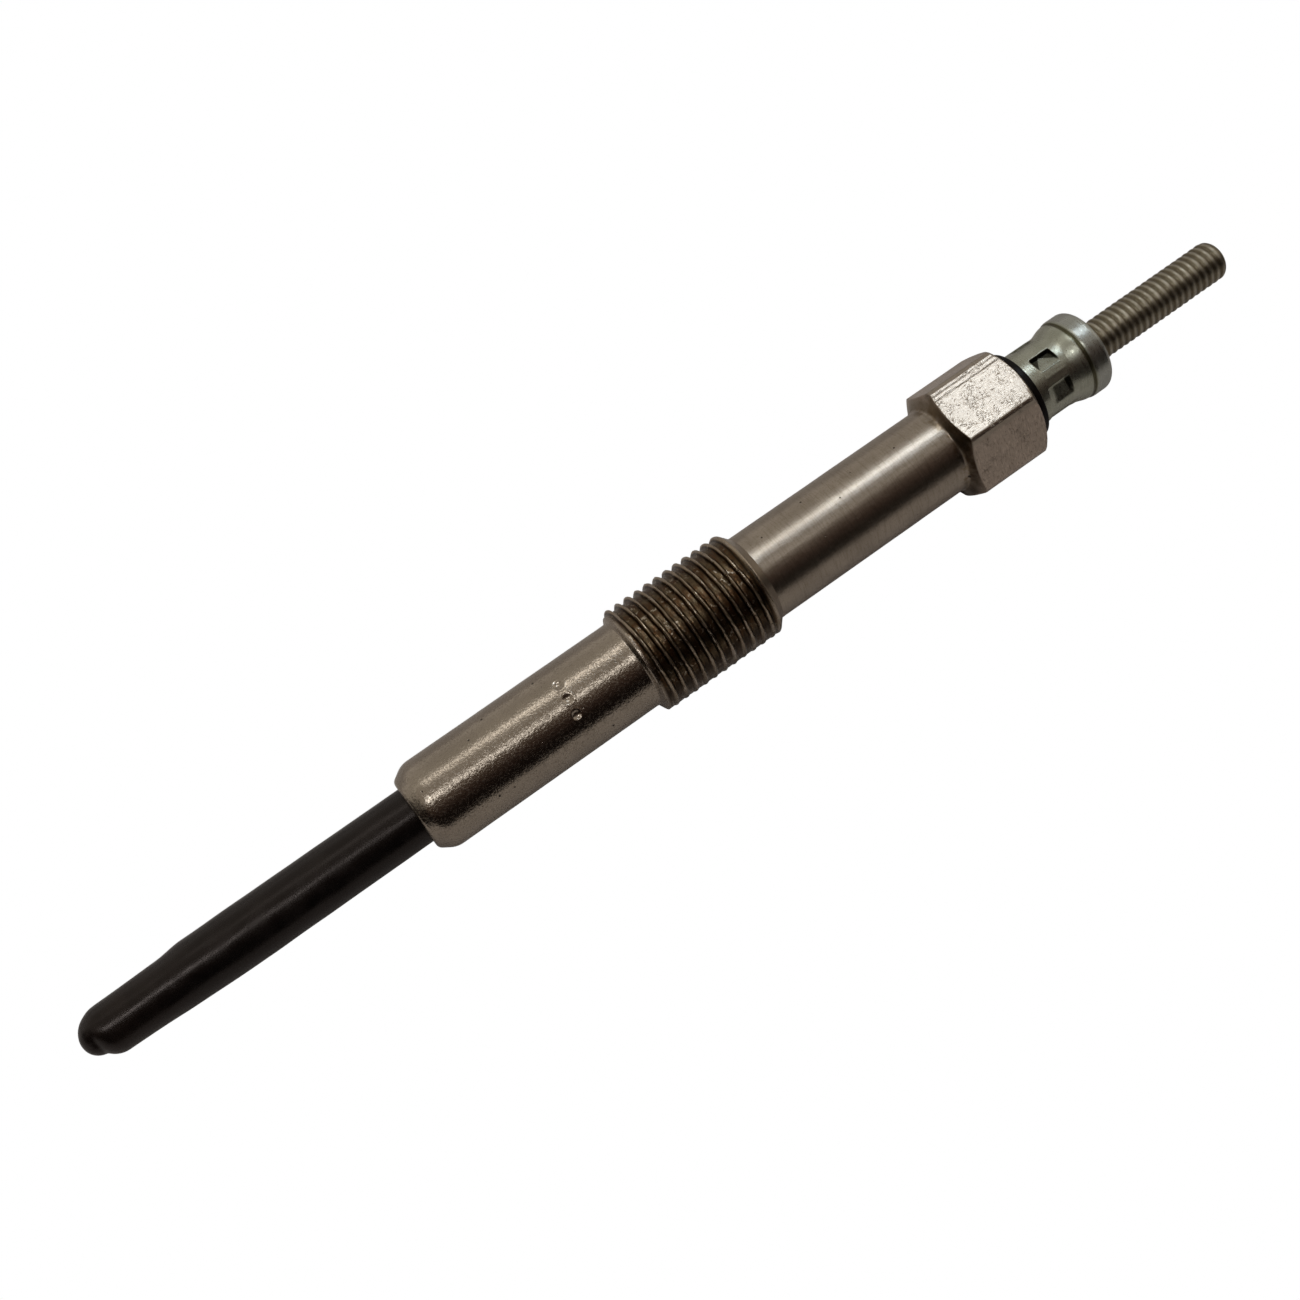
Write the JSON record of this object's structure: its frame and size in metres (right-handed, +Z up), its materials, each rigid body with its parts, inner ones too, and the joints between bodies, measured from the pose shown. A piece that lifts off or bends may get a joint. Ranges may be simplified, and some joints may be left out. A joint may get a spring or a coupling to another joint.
{
  "type": "diesel glow plug",
  "caption": "Slender diesel glow plug: dark heater rod, conical seat, threaded steel body with a hexagon, black bush, crimped round nut and threaded terminal stud.",
  "frame": {"origin": "on the surface the plug lies on, under the middle of its length", "axes": "+X along the plug from the heater tip to the terminal stud, +Z up from the surface"},
  "size_m": [0.1174, 0.0116, 0.01],
  "materials": {
    "nickel_plate": "satin nickel plate, tarnished",
    "oxide_sheath": "dark satin oxide",
    "coil_wire": "drawn wire",
    "magnesia": "packed powder",
    "seal_rubber": "matt",
    "stud_steel": "darkened steel",
    "black_bush": "glossy black moulding",
    "zinc_plate": "yellowish zinc plate"
  },
  "bodies": {
    "root": {"housing": "nickel_plate", "heater_sheath": "oxide_sheath", "heating_coil": "coil_wire", "regulating_coil": "coil_wire", "insulating_powder": "magnesia", "sheath_seal": "seal_rubber", "centre_electrode": "stud_steel", "sealing_ring": "seal_rubber", "insulating_bush": "black_bush", "round_nut": "zinc_plate"}
  },
  "joints": []
}
